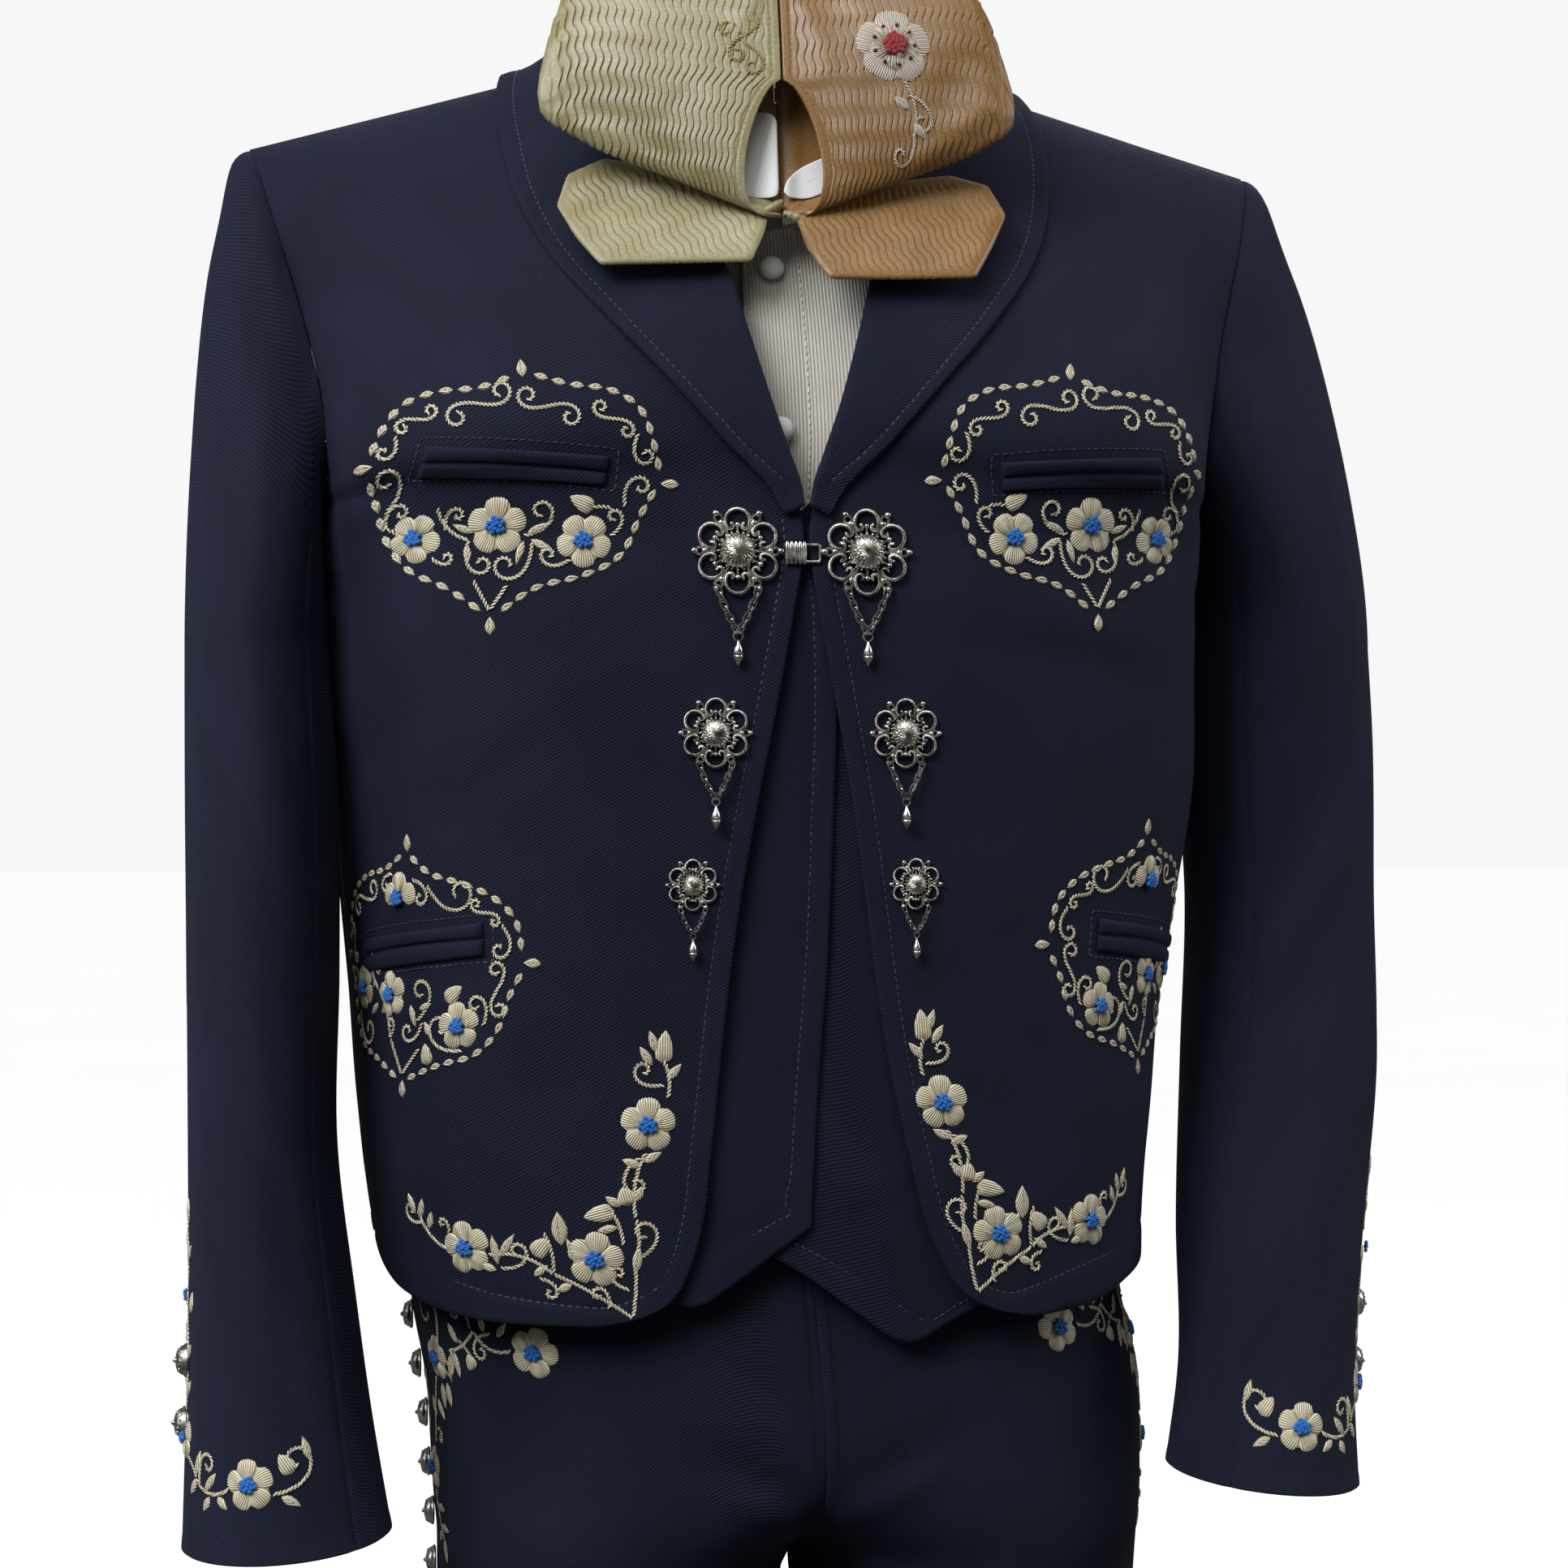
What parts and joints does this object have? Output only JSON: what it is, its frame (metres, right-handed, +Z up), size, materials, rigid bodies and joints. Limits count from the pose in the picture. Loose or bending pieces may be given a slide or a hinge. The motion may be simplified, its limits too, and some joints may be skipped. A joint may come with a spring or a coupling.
{
  "type": "charro suit, held up by its wearer",
  "caption": "Charro suit filled out as if worn: embroidered short jacket with silver brooches, waistcoat, shirt, trousers and wide moño bow tie.",
  "frame": {"origin": "where the suit rests on the wearer's shoulders, at the base of the neck", "axes": "+Z up along the suit, -Y towards its front, +X towards the wearer's left"},
  "size_m": [0.5312, 0.2672, 1.456],
  "materials": {
    "navy_twill": "dark navy wool twill, matt with a soft bloom",
    "white_cotton": "cream-white corded cotton, matt",
    "gold_satin": "old-gold satin in fine wavy pleats, half gloss",
    "silver": "cast and granulated silver, slightly warm"
  },
  "bodies": {
    "suit": {"collar_left": "navy_twill", "collar_right": "navy_twill", "cuff_button_1_left": "silver", "cuff_button_1_right": "silver", "cuff_button_2_left": "silver", "cuff_button_2_right": "silver", "hook_clasp": "silver", "jacket_back": "navy_twill", "jacket_front_left": "navy_twill", "jacket_front_right": "navy_twill", "mono_knot": "gold_satin", "mono_neck_band": "gold_satin", "mono_stiffener_left": "white_cotton", "mono_stiffener_right": "white_cotton", "mono_tail_left": "gold_satin", "mono_tail_right": "gold_satin", "mono_wing_left": "gold_satin", "mono_wing_right": "gold_satin", "pocket_chest_left": "navy_twill", "pocket_chest_right": "navy_twill", "pocket_hip_left": "navy_twill", "pocket_hip_right": "navy_twill", "rosette_1_left": "silver", "rosette_1_right": "silver", "rosette_2_left": "silver", "rosette_2_right": "silver", "rosette_3_left": "silver", "rosette_3_right": "silver", "shirt_back": "white_cotton", "shirt_button_1": "white_cotton", "shirt_button_2": "white_cotton", "shirt_collar": "white_cotton", "shirt_front_left": "white_cotton", "shirt_front_right": "white_cotton", "shirt_sleeve_left": "white_cotton", "shirt_sleeve_right": "white_cotton", "side_buttons_left": "silver", "side_buttons_right": "silver", "sleeve_top_left": "navy_twill", "sleeve_top_right": "navy_twill", "sleeve_under_left": "navy_twill", "sleeve_under_right": "navy_twill", "trouser_back_left": "navy_twill", "trouser_back_right": "navy_twill", "trouser_front_left": "navy_twill", "trouser_front_right": "navy_twill", "waistband": "navy_twill", "waistcoat_back": "navy_twill", "waistcoat_front_left": "navy_twill", "waistcoat_front_right": "navy_twill"},
    "pendant_1_left": {"pendant_1_left": "silver"},
    "pendant_1_right": {"pendant_1_right": "silver"},
    "pendant_2_left": {"pendant_2_left": "silver"},
    "pendant_2_right": {"pendant_2_right": "silver"},
    "pendant_3_left": {"pendant_3_left": "silver"},
    "pendant_3_right": {"pendant_3_right": "silver"}
  },
  "joints": [
    {"name": "pendant_1_left_swing", "type": "hinge", "parent": "suit", "child": "pendant_1_left", "pos_m": [0.02427, -0.13966, -0.2432], "axis": [-0.9998, -0.0176, 0], "range_deg": [0, 75]},
    {"name": "pendant_1_right_swing", "type": "hinge", "parent": "suit", "child": "pendant_1_right", "pos_m": [-0.02849, -0.13957, -0.2432], "axis": [-0.9997, 0.0235, 0], "range_deg": [0, 75]},
    {"name": "pendant_2_left_swing", "type": "hinge", "parent": "suit", "child": "pendant_2_left", "pos_m": [0.04033, -0.13828, -0.31364], "axis": [-0.999, -0.0441, 0], "range_deg": [0, 75]},
    {"name": "pendant_2_right_swing", "type": "hinge", "parent": "suit", "child": "pendant_2_right", "pos_m": [-0.03731, -0.13841, -0.31364], "axis": [-0.9993, 0.0383, 0], "range_deg": [0, 75]},
    {"name": "pendant_3_left_swing", "type": "hinge", "parent": "suit", "child": "pendant_3_left", "pos_m": [0.04515, -0.13525, -0.37182], "axis": [-0.9984, -0.0557, 0], "range_deg": [0, 75]},
    {"name": "pendant_3_right_swing", "type": "hinge", "parent": "suit", "child": "pendant_3_right", "pos_m": [-0.04615, -0.13519, -0.37182], "axis": [-0.9983, 0.0579, 0], "range_deg": [0, 75]}
  ]
}
